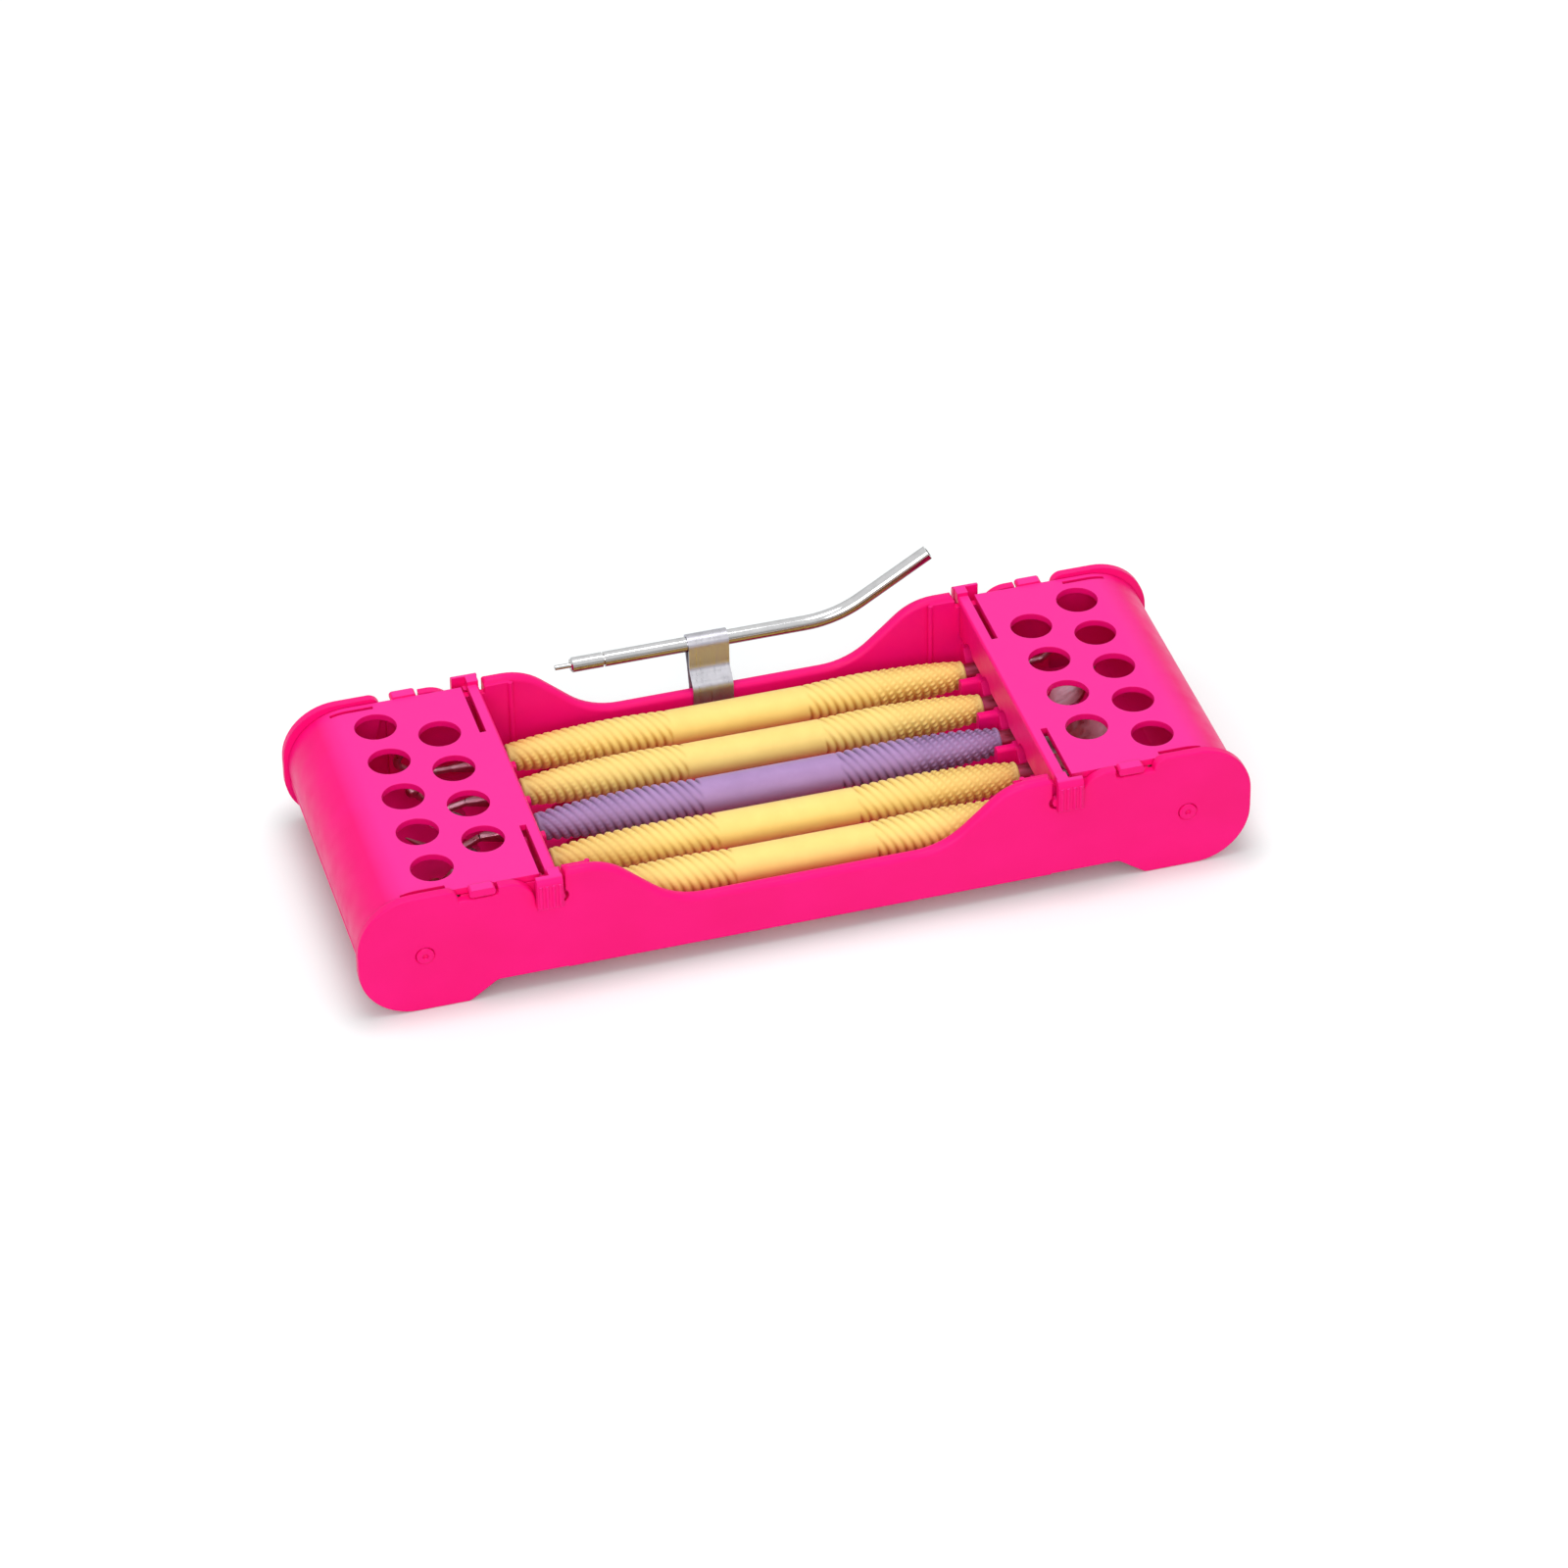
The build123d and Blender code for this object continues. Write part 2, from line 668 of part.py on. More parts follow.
with BuildPart() as syringe_tube:
    with BuildLine(upright(tube_y)) as tube_path:
        FilletPolyline(
            (tube_start, tube_height),
            (tube_corner, tube_height),
            (tube_corner + tube_rise * cos(turn), tube_height + tube_rise * sin(turn)),
            radius=tube_turn_radius,
        )
    with BuildSketch(Plane((tube_start, tube_y, tube_height), z_dir=(1, 0, 0))):
        Circle(tube_radius)
        Circle(tube_bore, mode=Mode.SUBTRACT)
    sweep()
finish(syringe_tube.part, "syringe_tube")

with BuildPart() as syringe_collar:
    with BuildSketch(Plane((collar_start, tube_y, tube_height), x_dir=(1, 0, 0), z_dir=(0, -1, 0))):
        with BuildLine():
            Polyline(
                (0, nozzle_radius + nozzle_play),
                (0, tube_radius - collar_bevel),
                (collar_bevel, tube_radius),
                (collar_length - collar_groove, tube_radius),
                (collar_length - collar_groove, tube_radius - collar_groove),
                (collar_length, tube_radius - collar_groove),
                (collar_length, tube_bore - spigot_play),
                (collar_length + spigot_length, tube_bore - spigot_play),
                (collar_length + spigot_length, nozzle_radius + nozzle_play),
                close=True,
            )
        make_face()
    revolve(axis=Axis((0, tube_y, tube_height), (1, 0, 0)))
finish(syringe_collar.part, "syringe_collar")

with BuildPart() as syringe_nozzle:
    with BuildSketch(Plane((collar_start - nozzle_reach, tube_y, tube_height), z_dir=(1, 0, 0))):
        Circle(nozzle_radius)
        Circle(nozzle_bore, mode=Mode.SUBTRACT)
    extrude(amount=nozzle_reach + collar_length + nozzle_depth)
finish(syringe_nozzle.part, "syringe_nozzle")
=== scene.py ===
from math import cos, pi, radians, sin

import bpy
import numpy as np
from mathutils import Matrix, Vector


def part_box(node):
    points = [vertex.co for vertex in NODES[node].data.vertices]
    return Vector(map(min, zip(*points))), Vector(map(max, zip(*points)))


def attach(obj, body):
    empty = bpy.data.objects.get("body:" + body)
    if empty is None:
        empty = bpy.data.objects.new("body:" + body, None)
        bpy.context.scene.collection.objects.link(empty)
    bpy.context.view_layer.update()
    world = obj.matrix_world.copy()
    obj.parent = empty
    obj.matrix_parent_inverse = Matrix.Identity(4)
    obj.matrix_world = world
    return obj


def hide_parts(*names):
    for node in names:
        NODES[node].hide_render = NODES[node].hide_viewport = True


# Looks of the dental instrument cassette, in metres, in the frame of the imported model:
# x runs to the right end, y to the back and z up from the table.

MM = 0.001
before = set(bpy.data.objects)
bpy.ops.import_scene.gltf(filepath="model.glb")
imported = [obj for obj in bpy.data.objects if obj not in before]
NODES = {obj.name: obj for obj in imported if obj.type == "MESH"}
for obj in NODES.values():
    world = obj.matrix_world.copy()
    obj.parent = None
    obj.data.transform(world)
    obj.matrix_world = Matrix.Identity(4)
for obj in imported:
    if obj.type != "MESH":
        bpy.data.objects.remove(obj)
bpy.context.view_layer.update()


def add_object(name, data):
    thing = bpy.data.objects.new(name, data)
    bpy.context.scene.collection.objects.link(thing)
    return thing


# ---- Camera: solved from the tray's parallel edges and its equal spacings ----
CAMERA_AZIMUTH = radians(-15.505)
CAMERA_ELEVATION = radians(37.139)
CAMERA_ROLL = radians(-1.026)
CAMERA_DISTANCE = 1.44127
CAMERA_RIGHT = 0.004282  # how far the camera stands to the right of the line to the origin
CAMERA_UP = 0.011785  # and above it
FOCAL_PIXELS = 6460.4
PICTURE_PIXELS = 1600
SENSOR_MM = 36


def add_camera():
    back = Vector((
        sin(CAMERA_AZIMUTH) * cos(CAMERA_ELEVATION),
        -cos(CAMERA_AZIMUTH) * cos(CAMERA_ELEVATION),
        sin(CAMERA_ELEVATION),
    ))
    level_right = Vector((0, 0, 1)).cross(back).normalized()
    level_up = back.cross(level_right)
    right = cos(CAMERA_ROLL) * level_right + sin(CAMERA_ROLL) * level_up
    up = cos(CAMERA_ROLL) * level_up - sin(CAMERA_ROLL) * level_right
    data = bpy.data.cameras.new("camera")
    data.sensor_width = SENSOR_MM
    data.lens = FOCAL_PIXELS / PICTURE_PIXELS * SENSOR_MM
    camera = add_object("camera", data)
    turn = Matrix((right, up, back)).transposed().to_4x4()
    camera.matrix_world = Matrix.Translation(
        back * CAMERA_DISTANCE + right * CAMERA_RIGHT + up * CAMERA_UP
    ) @ turn
    bpy.context.scene.camera = camera


# ---- Shader nodes ----
WHITE = (1, 1, 1, 1)
MIX_FACTOR, MIX_FIRST, MIX_SECOND, MIX_RESULT = 0, 6, 7, 2  # sockets of a mix of colours
BEVEL_SAMPLES = 6
NOISE_LOW, NOISE_HIGH = 0.3, 0.7  # nearly all of a noise's values lie between them


def with_alpha(colour):
    """A colour with its alpha; a socket stays as it is."""
    return (*colour, 1) if isinstance(colour, tuple) else colour


class Wiring:
    """The shader nodes of a material or world."""

    def __init__(self, owner):
        owner.use_nodes = True
        self.nodes = owner.node_tree.nodes
        self.links = owner.node_tree.links

    def feed(self, node, key, value):
        """Join a node's input to another node's output, or set it to a constant."""
        if isinstance(value, bpy.types.NodeSocket):
            self.links.new(value, node.inputs[key])
        else:
            node.inputs[key].default_value = value

    def add(self, kind, inputs=None, **settings):
        """Add a node, make its settings and feed its inputs."""
        node = self.nodes.new(f"ShaderNode{kind}")
        for name, value in settings.items():
            setattr(node, name, value)
        for key, value in (inputs or {}).items():
            self.feed(node, key, value)
        return node

    def math(self, operation, *values):
        return self.add("Math", dict(enumerate(values)), operation=operation).outputs[0]

    def ranged(self, value, low, high, start=NOISE_LOW, end=NOISE_HIGH, **settings):
        """A value from start to end, mapped to low to high."""
        limits = {"From Min": start, "From Max": end, "To Min": low, "To Max": high}
        node = self.add("MapRange", {"Value": value, **limits}, **settings)
        return node.outputs["Result"]


class Paint(Wiring):
    """A Principled material whose textures use object coordinates in metres.

    An export with nothing baked shows its plain colour and roughness.
    """

    def __init__(self, name, colour, roughness, metallic=0.0):
        self.material = bpy.data.materials.new(name)
        self.material.diffuse_color = with_alpha(colour)
        super().__init__(self.material)
        self.shader = self.nodes["Principled BSDF"]
        self.set("Base Color", with_alpha(colour))
        self.set("Roughness", roughness)
        self.set("Metallic", metallic)
        self.place = self.add("TexCoord").outputs["Object"]
        self.normal = None

    def set(self, socket, value):
        self.feed(self.shader, socket, value)

    def noise(self, per_metre, detail, axis_scale=(1, 1, 1)):
        """Noise from 0 to 1, with blotches per metre, finer along an axis of larger scale."""
        spread = self.add("Mapping", {"Vector": self.place, "Scale": axis_scale})
        inputs = {"Vector": spread.outputs[0], "Scale": per_metre, "Detail": detail}
        return self.add("TexNoise", inputs).outputs["Fac"]

    def blend_colours(self, factor, first, second):
        """Two colours or sockets mixed: the first at factor 0, the second at factor 1."""
        colours = {MIX_FIRST: with_alpha(first), MIX_SECOND: with_alpha(second)}
        node = self.add("Mix", {MIX_FACTOR: factor, **colours}, data_type="RGBA")
        return node.outputs[MIX_RESULT]

    def facing(self, start, end):
        """0 where the surface's normal has the z of start, 1 where it has the z of end."""
        normal = self.add("NewGeometry").outputs["Normal"]
        return self.ranged(self.add("SeparateXYZ", {0: normal}).outputs["Z"], 0, 1, start, end)

    def near_middle(self, start, end):
        """1 within start of the cassette's middle, measured along x, and 0 beyond end."""
        x = self.add("SeparateXYZ", {0: self.place}).outputs["X"]
        return self.ranged(self.math("ABSOLUTE", x), 1, 0, start, end)

    def attribute(self, name):
        return self.add("Attribute", attribute_name=name).outputs["Fac"]

    def soft_edges(self, radius):
        bevel = self.add("Bevel", {"Radius": radius}, samples=BEVEL_SAMPLES)
        self.normal = bevel.outputs["Normal"]

    def bump(self, height, depth, strength):
        inputs = {"Height": height, "Distance": depth, "Strength": strength}
        if self.normal:
            inputs["Normal"] = self.normal
        self.normal = self.add("Bump", inputs).outputs["Normal"]

    def done(self):
        if self.normal:
            self.set("Normal", self.normal)
        return self.material


# ---- Light: a soft lamp overhead, one in front, and a sky that is brighter overhead ----
LAMPS = (  # name, place, diameter, watts
    ("key", (-0.1, -0.1, 1.8), 1.0, 8),
    ("fill", (-0.5, -1.6, 0.9), 1.2, 11.5),
)
ZENITH_STRENGTH = 0.84
HORIZON_STRENGTH = 0.60


def add_lamp(name, place, diameter, watts):
    """A round lamp that faces the origin."""
    data = bpy.data.lights.new(name, "AREA")
    data.shape = "DISK"
    data.size = diameter
    data.energy = watts
    lamp = add_object(name, data)
    lamp.location = place
    lamp.rotation_euler = Vector(place).to_track_quat("Z", "Y").to_euler()


def add_sky():
    """A sky that is brighter overhead, and white where the camera sees it."""
    world = bpy.data.worlds.new("studio")
    bpy.context.scene.world = world
    wiring = Wiring(world)
    wiring.nodes.clear()
    direction = wiring.add("TexCoord").outputs["Generated"]
    height = wiring.add("SeparateXYZ", {0: direction}).outputs["Z"]
    strength = wiring.ranged(height, HORIZON_STRENGTH, ZENITH_STRENGTH, start=0, end=1)
    studio = wiring.add("Background", {"Color": WHITE, "Strength": strength}).outputs[0]
    white = wiring.add("Background", {"Color": WHITE}).outputs[0]
    seen = wiring.add("LightPath").outputs["Is Camera Ray"]
    sky = wiring.add("MixShader", {"Fac": seen, 1: studio, 2: white}).outputs[0]
    wiring.add("OutputWorld", {"Surface": sky})


# ---- Pink resin ----
PINK = (0.95, 0.004, 0.208)
PINK_DEEP = (0.90, 0.003, 0.18)
PINK_TOP_SHEEN = (0.95, 0.027, 0.32)  # painted sheen of the lids' flat tops
TOP_START = 0.85  # z of the normal where the painted sheen of a top begins
TOP_FULL = 0.99
RESIN_ROUGHNESS = 0.38
RESIN_ROUGHNESS_RANGE = (0.32, 0.46)
RESIN_SPECULAR = 0.14
RESIN_EDGE = 0.35 * MM
FLOW_MARKS = {"per_metre": 45, "detail": 2, "axis_scale": (1, 2.5, 1.5)}
RESIN_WEAR = {"per_metre": 260, "detail": 6}
RESIN_GRAIN = {"per_metre": 3500, "detail": 2}
RESIN_WAVES = {"per_metre": 120, "detail": 1}
GRAIN_DEPTH = 0.02 * MM  # of the resin and of the rubber
RESIN_GRAIN_STRENGTH = 0.5
WAVE_DEPTH = 0.12 * MM
WAVE_STRENGTH = 0.35


def moulded_resin(name, top):
    """Pink resin with flow marks, a fine grain, softly rounded edges and a colour for its tops,
    which on the lids is a painted sheen.
    """
    paint = Paint(name, PINK, RESIN_ROUGHNESS)
    flow = paint.ranged(paint.noise(**FLOW_MARKS), 0, 1)
    marked = paint.blend_colours(flow, PINK, PINK_DEEP)
    # Upward faces get the top colour: on the lids a painted sheen.
    paint.set("Base Color", paint.blend_colours(paint.facing(TOP_START, TOP_FULL), marked, top))
    paint.set("Roughness", paint.ranged(paint.noise(**RESIN_WEAR), *RESIN_ROUGHNESS_RANGE))
    paint.set("Specular IOR Level", RESIN_SPECULAR)
    paint.soft_edges(RESIN_EDGE)
    paint.bump(paint.noise(**RESIN_GRAIN), GRAIN_DEPTH, RESIN_GRAIN_STRENGTH)
    paint.bump(paint.noise(**RESIN_WAVES), WAVE_DEPTH, WAVE_STRENGTH)
    return paint.done()


# ---- Rubber of the grips ----
YELLOW = (1.0, 0.74, 0.215)
YELLOW_DEEP = (0.60, 0.31, 0.03)
PURPLE = (0.42, 0.25, 0.52)
PURPLE_DEEP = (0.06, 0.02, 0.09)
# Painted shade under the grips' ends, where they meet the ferrules
END_SHADE_COLOUR = (0.05, 0.045, 0.07)
RUBBER_ROUGHNESS = 0.55
RUBBER_ROUGHNESS_RANGE = (0.48, 0.66)
RUBBER_SHEEN = 0.15
SHEEN_ROUGHNESS = 0.5
BLOTCHES = {"per_metre": 220, "detail": 4}
BLOTCH_DEPTH = 0.12  # how far a blotch goes towards the deep colour
RUBBER_WEAR = {"per_metre": 900, "detail": 5}
RUBBER_GRAIN = {"per_metre": 5000, "detail": 3}
RUBBER_GRAIN_STRENGTH = 0.6


def rubber(name, colour, deep):
    """Matt handle rubber, darker in its grooves, with painted shade under its ends."""
    paint = Paint(name, colour, RUBBER_ROUGHNESS)
    blotches = paint.ranged(paint.noise(**BLOTCHES), 0, BLOTCH_DEPTH)
    blotched = paint.blend_colours(blotches, colour, deep)
    # Darker towards the deep colour in the grooves: painted shade, with some dirt.
    grooved = paint.blend_colours(paint.attribute("groove"), blotched, deep)
    # Painted shade under the grip's ends
    paint.set("Base Color", paint.blend_colours(paint.attribute("painted_end_shade"), grooved, END_SHADE_COLOUR))
    paint.set("Roughness", paint.ranged(paint.noise(**RUBBER_WEAR), *RUBBER_ROUGHNESS_RANGE))
    paint.set("Sheen Weight", RUBBER_SHEEN)
    paint.set("Sheen Roughness", SHEEN_ROUGHNESS)
    paint.bump(paint.noise(**RUBBER_GRAIN), GRAIN_DEPTH, RUBBER_GRAIN_STRENGTH)
    return paint.done()


# ---- Steel ----
# The instrument steel's pink tint is a painted reflection of the pink tray round it.
INSTRUMENT_STEEL = {
    "colour": (0.74, 0.42, 0.52),
    "underside_shade": (0.50, 0.16, 0.25),
    "roughness": 0.38,
    "axis_scale": (0.15, 1, 1),
    "line_depth": 0.004 * MM,
    "shaded": (0.48, 0.09, 0.18),
}
CLIP_STEEL = {
    "colour": (0.66, 0.65, 0.70),
    "underside_shade": (0.47, 0.465, 0.54),
    "roughness": 0.34,
    "axis_scale": (2.5, 1, 0.08),
    "line_depth": 0.01 * MM,
}
POLISHED_STEEL = {
    "colour": (0.82, 0.82, 0.83),
    "underside_shade": (0.37, 0.34, 0.32),
    "roughness": 0.10,
    "axis_scale": (0.1, 1, 1),
    "line_depth": 0.004 * MM,
}
DRAWN_LINES = {"per_metre": 900, "detail": 4}
LINE_STRENGTH = 0.5
SMOOTHEST, ROUGHEST = 0.7, 1.4  # across the drawn lines, as shares of the steel's roughness
STAINS = {"per_metre": 400, "detail": 3}
STAIN_BRIGHTNESS = 0.86
UNDERSIDE_SHADE_START = 0.6  # z of the normal below which the steel is darkened by painted shade
UNDERSIDE_SHADE_FULL = 0.35
FERRULE_END = 60 * MM  # from the cassette's middle
TIP_START = 66 * MM


def steel(name, colour, underside_shade, roughness, axis_scale, line_depth, shaded=None):
    """Metal with fine drawn lines along the axis of the smallest scale, and an underside darkened
    by painted shade.

    The shaded colour is painted shade and pink reflection on the ferrules, which stand among the
    rack's pink posts.
    """
    paint = Paint(name, colour, roughness, metallic=1.0)
    lines = paint.noise(**DRAWN_LINES, axis_scale=axis_scale)
    paint.set("Roughness", paint.ranged(lines, roughness * SMOOTHEST, roughness * ROUGHEST))
    stain = tuple(STAIN_BRIGHTNESS * channel for channel in colour)
    stained = paint.blend_colours(paint.ranged(paint.noise(**STAINS), 0, 1), colour, stain)
    # Painted shade darkens the steel's underside.
    stained_and_shaded = paint.blend_colours(paint.facing(UNDERSIDE_SHADE_START, UNDERSIDE_SHADE_FULL), stained, underside_shade)
    if shaded:
        # Painted shade and pink reflection on the ferrules
        stained_and_shaded = paint.blend_colours(paint.near_middle(FERRULE_END, TIP_START), stained_and_shaded, shaded)
    paint.set("Base Color", stained_and_shaded)
    paint.bump(lines, line_depth, LINE_STRENGTH)
    return paint.done()


# ---- Glass of the mouth mirror ----
# The mirror's pink tint is a painted reflection of the pink lid above it.
MIRROR = (0.95, 0.52, 0.69)
MIRROR_ROUGHNESS = 0.12
MIRROR_ROUGHNESS_RANGE = (0.08, 0.2)
MIRROR_WEAR = {"per_metre": 700, "detail": 4}


def mirror_surface():
    paint = Paint("mirror_glass", MIRROR, MIRROR_ROUGHNESS, metallic=1.0)
    paint.set("Roughness", paint.ranged(paint.noise(**MIRROR_WEAR), *MIRROR_ROUGHNESS_RANGE))
    return paint.done()


# ---- Floor ----
# The floor is slightly cyan, which paints out the pink light that the tray throws into its shadow.
FLOOR_COLOUR = (0.74, 0.79, 0.785, 1)
FLOOR_SIZE = 8.0
FLOOR_LIFT = 0.25  # strength of the light that lifts the floor to white
FOOTPRINT = (0.100, 0.036, 0)  # half the tray's length and width on the floor
LIFT_REACH = 0.012  # how far from the tray the floor's lift is full; nearer, its fading paints a shadow round the tray
FAR_LIFT = 0.3  # more of it far away, where the lamps' light falls off
FAR_START = 0.3  # from the tray
FAR_REACH = 1.5


def distance_from_tray(wiring):
    """How far a place on the floor is from the tray's footprint."""
    place = wiring.add("TexCoord").outputs["Object"]
    for operation, operand in (
        ("ABSOLUTE", (0, 0, 0)),
        ("SUBTRACT", FOOTPRINT),
        ("MAXIMUM", (0, 0, 0)),
    ):
        step = wiring.add("VectorMath", {0: place, 1: operand}, operation=operation)
        place = step.outputs["Vector"]
    return wiring.add("VectorMath", {0: place}, operation="LENGTH").outputs["Value"]


def floor_surface():
    """Pale matt floor, lifted to white for what looks at it directly, but not under the tray; the
    lift fades out towards the tray, which paints a shadow round it.
    """
    material = bpy.data.materials.new("floor")
    wiring = Wiring(material)
    wiring.nodes.clear()
    distance = distance_from_tray(wiring)
    # The lift fades to nothing at the tray: a painted contact shadow.
    near = wiring.ranged(
        distance, 0, FLOOR_LIFT, start=0, end=LIFT_REACH, interpolation_type="SMOOTHSTEP"
    )
    far = wiring.ranged(distance, 0, FAR_LIFT, FAR_START, FAR_REACH)
    path = wiring.add("LightPath").outputs
    seen = wiring.math("ADD", path["Is Camera Ray"], path["Is Glossy Ray"])
    seen = wiring.math("ADD", seen, path["Is Transmission Ray"])
    lift = wiring.math("MULTIPLY", seen, wiring.math("ADD", near, far))
    matt = wiring.add("BsdfDiffuse", {"Color": FLOOR_COLOUR}).outputs[0]
    glow = wiring.add("Emission", {"Strength": lift}).outputs[0]
    surface = wiring.add("AddShader", {0: matt, 1: glow}).outputs[0]
    wiring.add("OutputMaterial", {"Surface": surface})
    return material


def add_floor():
    half = FLOOR_SIZE / 2
    mesh = bpy.data.meshes.new("floor")
    corners = [(-half, -half, 0), (half, -half, 0), (half, half, 0), (-half, half, 0)]
    mesh.from_pydata(corners, [], [(0, 1, 2, 3)])
    mesh.materials.append(floor_surface())
    floor = add_object("floor", mesh)


# ---- Instrument handles: ridged rubber grips in place of the plain CAD solids ----
WAIST_RADIUS = 4.2 * MM
SHOULDER_RADIUS = 4.15 * MM
END_RADIUS = 3.1 * MM
SMOOTH_HALF = 15.9 * MM  # from the handle's middle
BELLY_PLACE = 30.0 * MM
SHOULDER_PLACE = 45.0 * MM
END_ROUND = 0.6 * MM
BORE_RADIUS = 1.55 * MM
BORE_DEPTH = 12.0 * MM  # from each end
RIDGE_SPACING = 2.06 * MM
RIDGE_DEPTH = 0.65 * MM
RIDGE_TILT = 2.6 * MM
RIDGE_RAMP = 0.8 * MM  # length over which the grooves begin beside the smooth middle
PLAIN_END = 0.3 * MM  # the grooves stop this far from the handle's ends
FULL_END = 1.5 * MM  # and have their whole depth from here
KNURL_COUNT = 18
KNURL_LEAD = 2.0 * MM  # along x, from one slanting line to the next
KNURL_START = 29.0 * MM
KNURL_FULL = 37.0 * MM
LEFT_KNURL = 0.35  # the knurl is fainter at the left ends
RING_NARROWNESS = 2.2  # a higher power makes the grooves narrower
KNURL_NARROWNESS = 1.3
SMOOTH_BAND = 0.24  # share of the grooves' depth a quarter turn from the roll
END_SHADE_STRENGTH = 0.9  # how dark the painted shade is on the grip's underside where it meets the ferrule
TOP_SHADE_SHARE = 0.2  # share of the painted shade along the grip's top
END_SHADE_REACH = 3.5 * MM
SEGMENTS = 120  # points round each ring of the mesh
STATION = 0.24 * MM  # from ring to ring
END_STEPS = 5  # of the rounded rim


def radius_at(x, half, belly_radius):
    """Radius at x from the middle of a plain grip with a half length."""
    x = np.abs(x)
    belly = np.polyfit(
        (SMOOTH_HALF, BELLY_PLACE, SHOULDER_PLACE),
        (WAIST_RADIUS, belly_radius, SHOULDER_RADIUS),
        2,
    )
    slope = np.polyval(np.polyder(belly), SHOULDER_PLACE)
    run = half - SHOULDER_PLACE
    bend = (END_RADIUS - SHOULDER_RADIUS - slope * run) / run**2
    beyond = x - SHOULDER_PLACE
    taper = SHOULDER_RADIUS + slope * beyond + bend * beyond**2
    radius = np.where(x > SHOULDER_PLACE, taper, np.polyval(belly, x))
    return np.where(x < SMOOTH_HALF, WAIST_RADIUS, radius)


def smooth_step(value, start, end):
    t = np.clip((value - start) / (end - start), 0, 1)
    return t * t * (3 - 2 * t)


def groove(phase, narrowness):
    """0 on top of a ridge, 1 at the bottom of the groove between two."""
    return (0.5 + 0.5 * np.cos(2 * pi * phase)) ** narrowness


def groove_depth(x, angle, roll, half):
    """Share of the grooves' depth, for x from the middle and an angle from the top to the front.

    The rings lean furthest, and are deepest, where the angle is the roll.
    """
    knurled = smooth_step(x, KNURL_START, KNURL_FULL)
    knurled += LEFT_KNURL * smooth_step(-x, KNURL_START, KNURL_FULL)
    narrowness = RING_NARROWNESS + knurled * (KNURL_NARROWNESS - RING_NARROWNESS)
    rings = groove((x - RIDGE_TILT * np.cos(angle - roll)) / RIDGE_SPACING, narrowness)
    lines = groove(KNURL_COUNT * angle / (2 * pi) + x / KNURL_LEAD, narrowness)
    depth = np.maximum(rings, knurled * lines)
    side = 0.5 - 0.5 * np.cos(2 * (angle - roll + pi / 2))
    depth = depth * (SMOOTH_BAND + (1 - SMOOTH_BAND) * side)
    start = smooth_step(np.abs(x), SMOOTH_HALF, SMOOTH_HALF + RIDGE_RAMP)
    end = smooth_step(half - np.abs(x), PLAIN_END, FULL_END)
    return depth * start * end


def grip_rings(half, belly_radius):
    """x and radius of the rings from one bore's bottom to the other's, and 1 for grooved ones."""
    ridged = np.arange(SMOOTH_HALF, half - END_ROUND, STATION)
    outside = np.concatenate((-ridged[::-1], ridged))
    turn = np.linspace(0, pi / 2, END_STEPS + 1)
    rim_x = half - END_ROUND + END_ROUND * np.sin(turn)
    rim_radius = radius_at(half - END_ROUND, half, belly_radius)
    rim_radius = rim_radius - END_ROUND + END_ROUND * np.cos(turn)
    end_x = np.concatenate((rim_x, [half, half - BORE_DEPTH]))
    end_radius = np.concatenate((rim_radius, [BORE_RADIUS, BORE_RADIUS]))
    ring_x = np.concatenate((-end_x[::-1], outside, end_x))
    outside_radius = radius_at(outside, half, belly_radius)
    ring_radius = np.concatenate((end_radius[::-1], outside_radius, end_radius))
    grooved = np.zeros(len(ring_x))
    grooved[len(end_x):-len(end_x)] = 1
    return ring_x, ring_radius, grooved


def ring_faces(ring_count):
    """Faces that join the rings' points to a closed surface."""
    first = np.arange(ring_count - 1)[:, None] * SEGMENTS
    column = np.arange(SEGMENTS)[None, :]
    beside = (column + 1) % SEGMENTS
    quads = np.stack(
        (first + column, first + beside, first + SEGMENTS + beside, first + SEGMENTS + column),
        axis=-1,
    ).reshape(-1, 4)
    last = (ring_count - 1) * SEGMENTS
    caps = [list(range(SEGMENTS))[::-1], list(range(last, last + SEGMENTS))]
    return quads.tolist() + caps


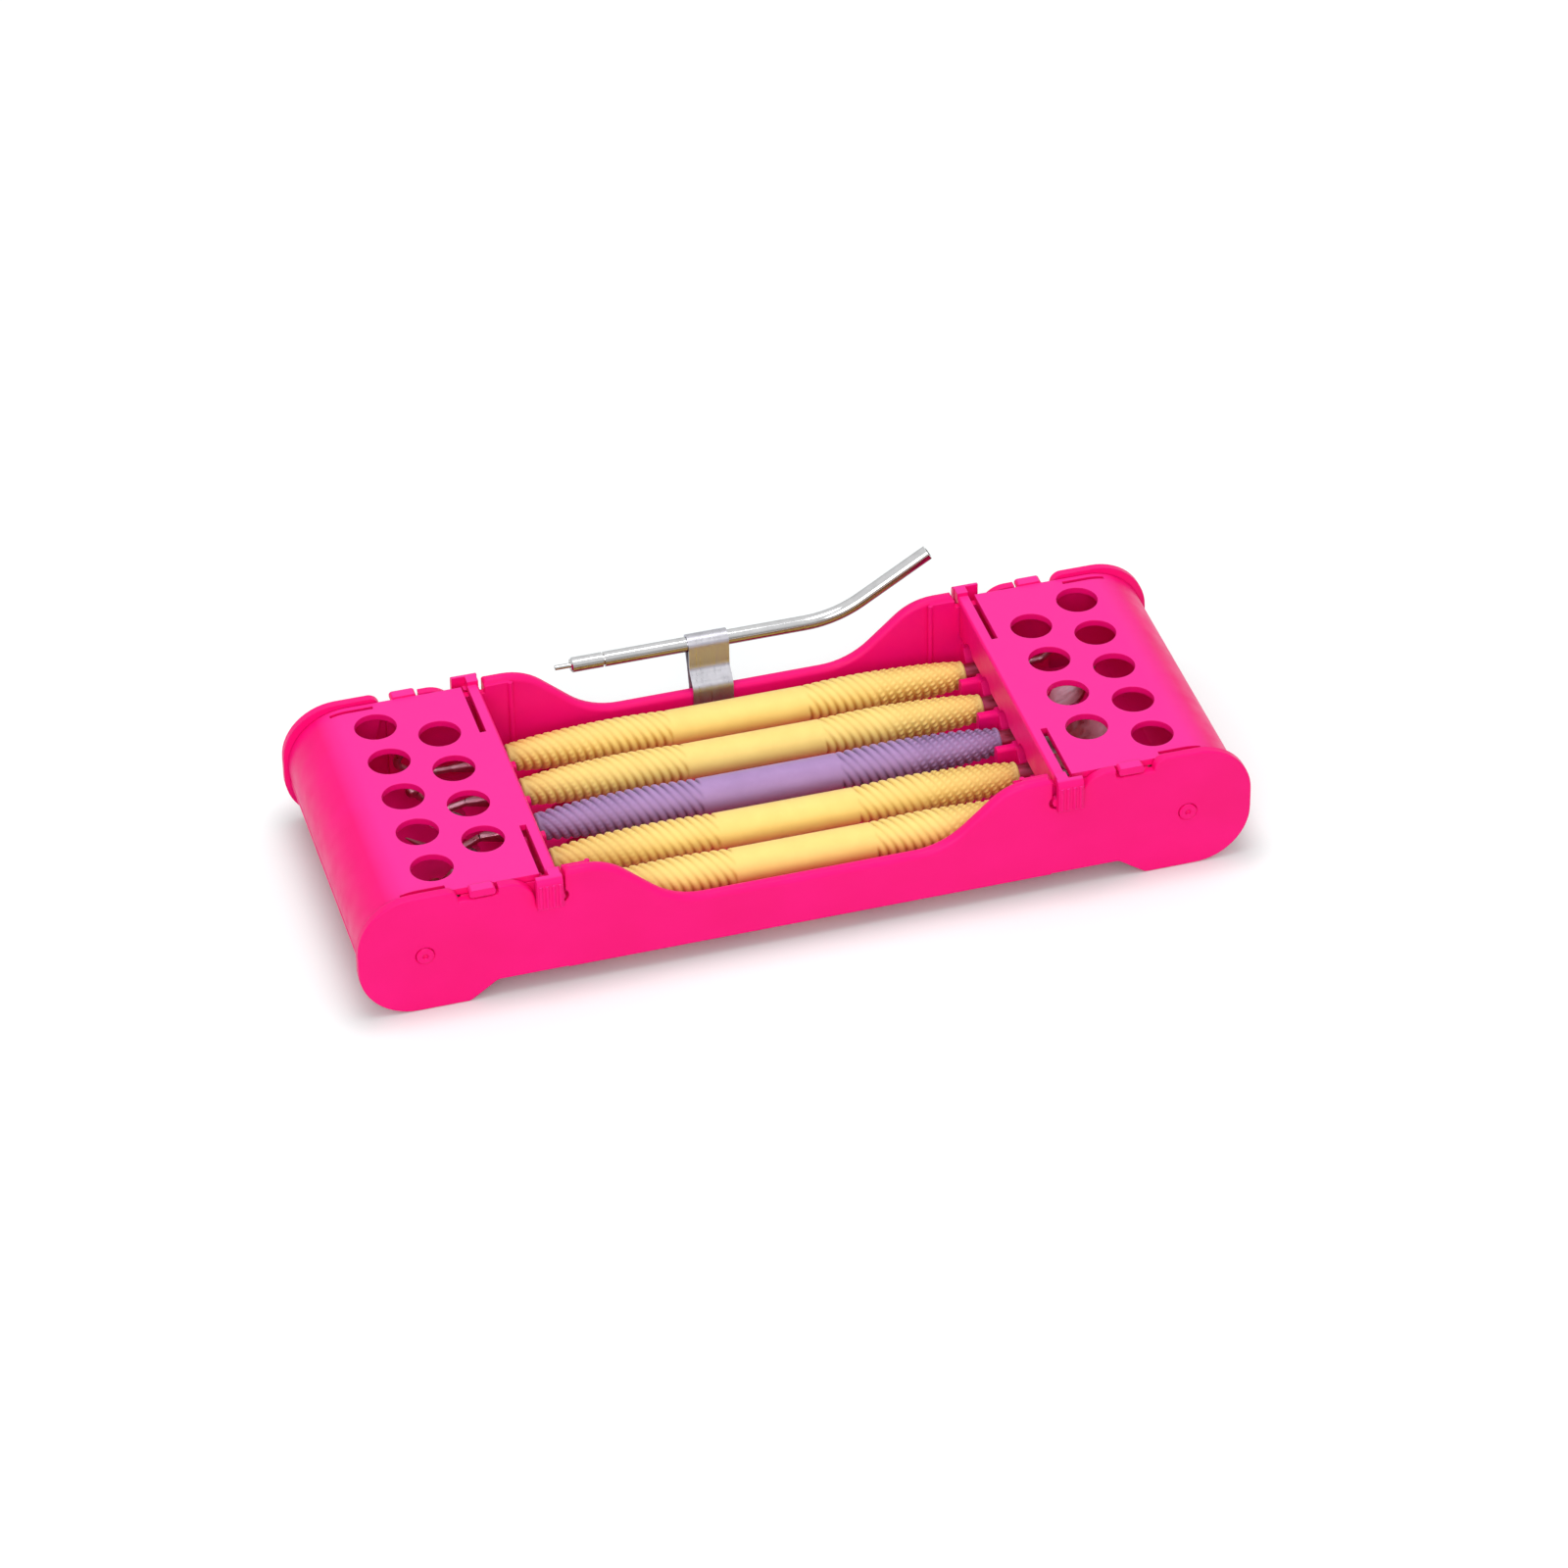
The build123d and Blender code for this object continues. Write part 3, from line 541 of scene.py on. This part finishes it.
def add_grip(number, roll_degrees, material):
    node = f"instrument_handle_{number}"
    low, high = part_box(node)
    middle = (low + high) / 2
    half = (high.x - low.x) / 2
    ring_x, ring_radius, grooved = grip_rings(half, belly_radius=(high.z - low.z) / 2)
    angles = np.arange(SEGMENTS) * 2 * pi / SEGMENTS
    x, angle = np.meshgrid(ring_x, angles, indexing="ij")
    depth = groove_depth(x, angle, radians(roll_degrees), half) * grooved[:, None]
    radius = ring_radius[:, None] - RIDGE_DEPTH * depth
    points = np.stack(
        (middle.x + x, middle.y - radius * np.sin(angle), middle.z + radius * np.cos(angle)),
        axis=-1,
    ).reshape(-1, 3)
    mesh = bpy.data.meshes.new(f"grip_{number}")
    mesh.from_pydata(points.tolist(), [], ring_faces(len(ring_x)))
    # Painted shade: darker on the underside near each end, a little along the top
    below = (1 - np.cos(angle)) / 2
    painted_end_shade = END_SHADE_STRENGTH * (TOP_SHADE_SHARE + (1 - TOP_SHADE_SHARE) * below)
    painted_end_shade = painted_end_shade * smooth_step(np.abs(x), half - END_SHADE_REACH, half)
    for name, values in (("groove", depth), ("painted_end_shade", painted_end_shade)):
        attribute = mesh.attributes.new(name, "FLOAT", "POINT")
        attribute.data.foreach_set("value", values.reshape(-1).astype(np.float32))
    mesh.shade_smooth()
    mesh.materials.append(material)
    grip = add_object(f"grip_{number}", mesh)
    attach(grip, "cassette")
    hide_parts(node)


# ---- The dressed cassette ----
GRIP_ROLLS = (115, 118, 140, 135, 128)  # how each instrument happens to lie, from back to front
PURPLE_ROW = 3


def paint_nodes(names, material):
    for name in names:
        materials = NODES[name].data.materials
        materials.clear()
        materials.append(material)


paint_nodes(("base_tray",), moulded_resin("pink_polymer", PINK))
# The lids' tops carry a painted sheen.
paint_nodes(("left_lid", "right_lid"), moulded_resin("pink_lid_polymer", PINK_TOP_SHEEN))
rows = range(1, len(GRIP_ROLLS) + 1)
tips = [f"{side}_tip_{row}" for side in ("left", "right") for row in rows]
paint_nodes(tips, steel("instrument_steel", **INSTRUMENT_STEEL))
paint_nodes(("mirror_glass",), mirror_surface())
paint_nodes(("tip_clip",), steel("clip_steel", **CLIP_STEEL))
syringe = ("syringe_tube", "syringe_collar", "syringe_nozzle")
paint_nodes(syringe, steel("polished_steel", **POLISHED_STEEL))

rubbers = {
    "yellow_grip": rubber("yellow_grip", YELLOW, YELLOW_DEEP),
    "purple_grip": rubber("purple_grip", PURPLE, PURPLE_DEEP),
}
for row, roll_degrees in zip(rows, GRIP_ROLLS):
    slot = "purple_grip" if row == PURPLE_ROW else "yellow_grip"
    add_grip(row, roll_degrees, rubbers[slot])

add_floor()
add_sky()
for lamp in LAMPS:
    add_lamp(*lamp)
add_camera()
bpy.context.scene.view_settings.view_transform = "Standard"
